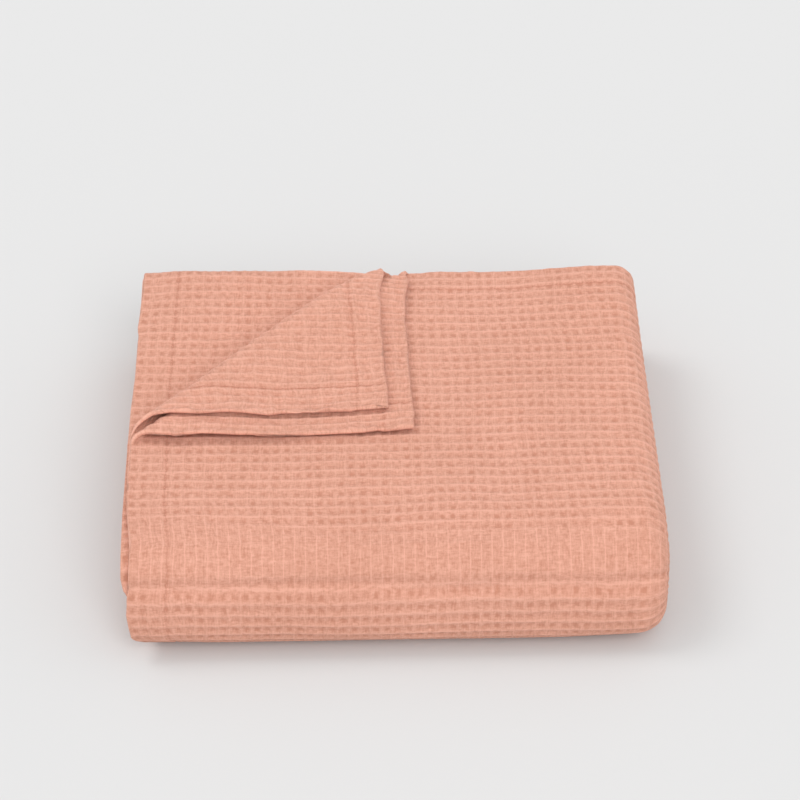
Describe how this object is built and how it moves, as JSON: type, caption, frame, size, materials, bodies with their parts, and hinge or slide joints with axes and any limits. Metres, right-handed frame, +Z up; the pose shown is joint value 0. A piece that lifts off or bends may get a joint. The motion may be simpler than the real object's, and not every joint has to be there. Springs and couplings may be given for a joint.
{
  "type": "bedspread",
  "caption": "Folded waffle-weave cotton bedspread, salmon pink, with a corner of its upper layers turned back.",
  "frame": {"origin": "centre of the footprint, on the surface that the folded bedspread rests on", "axes": "+X along the rounded front fold, away from the turned-back corner; +Y from the front fold to the open back; +Z up through the stack of layers"},
  "size_m": [0.4654, 0.4216, 0.1184],
  "materials": {
    "cotton": "matt waffle-weave cotton"
  },
  "bodies": {
    "root": {"bedspread": "cotton"}
  },
  "joints": []
}
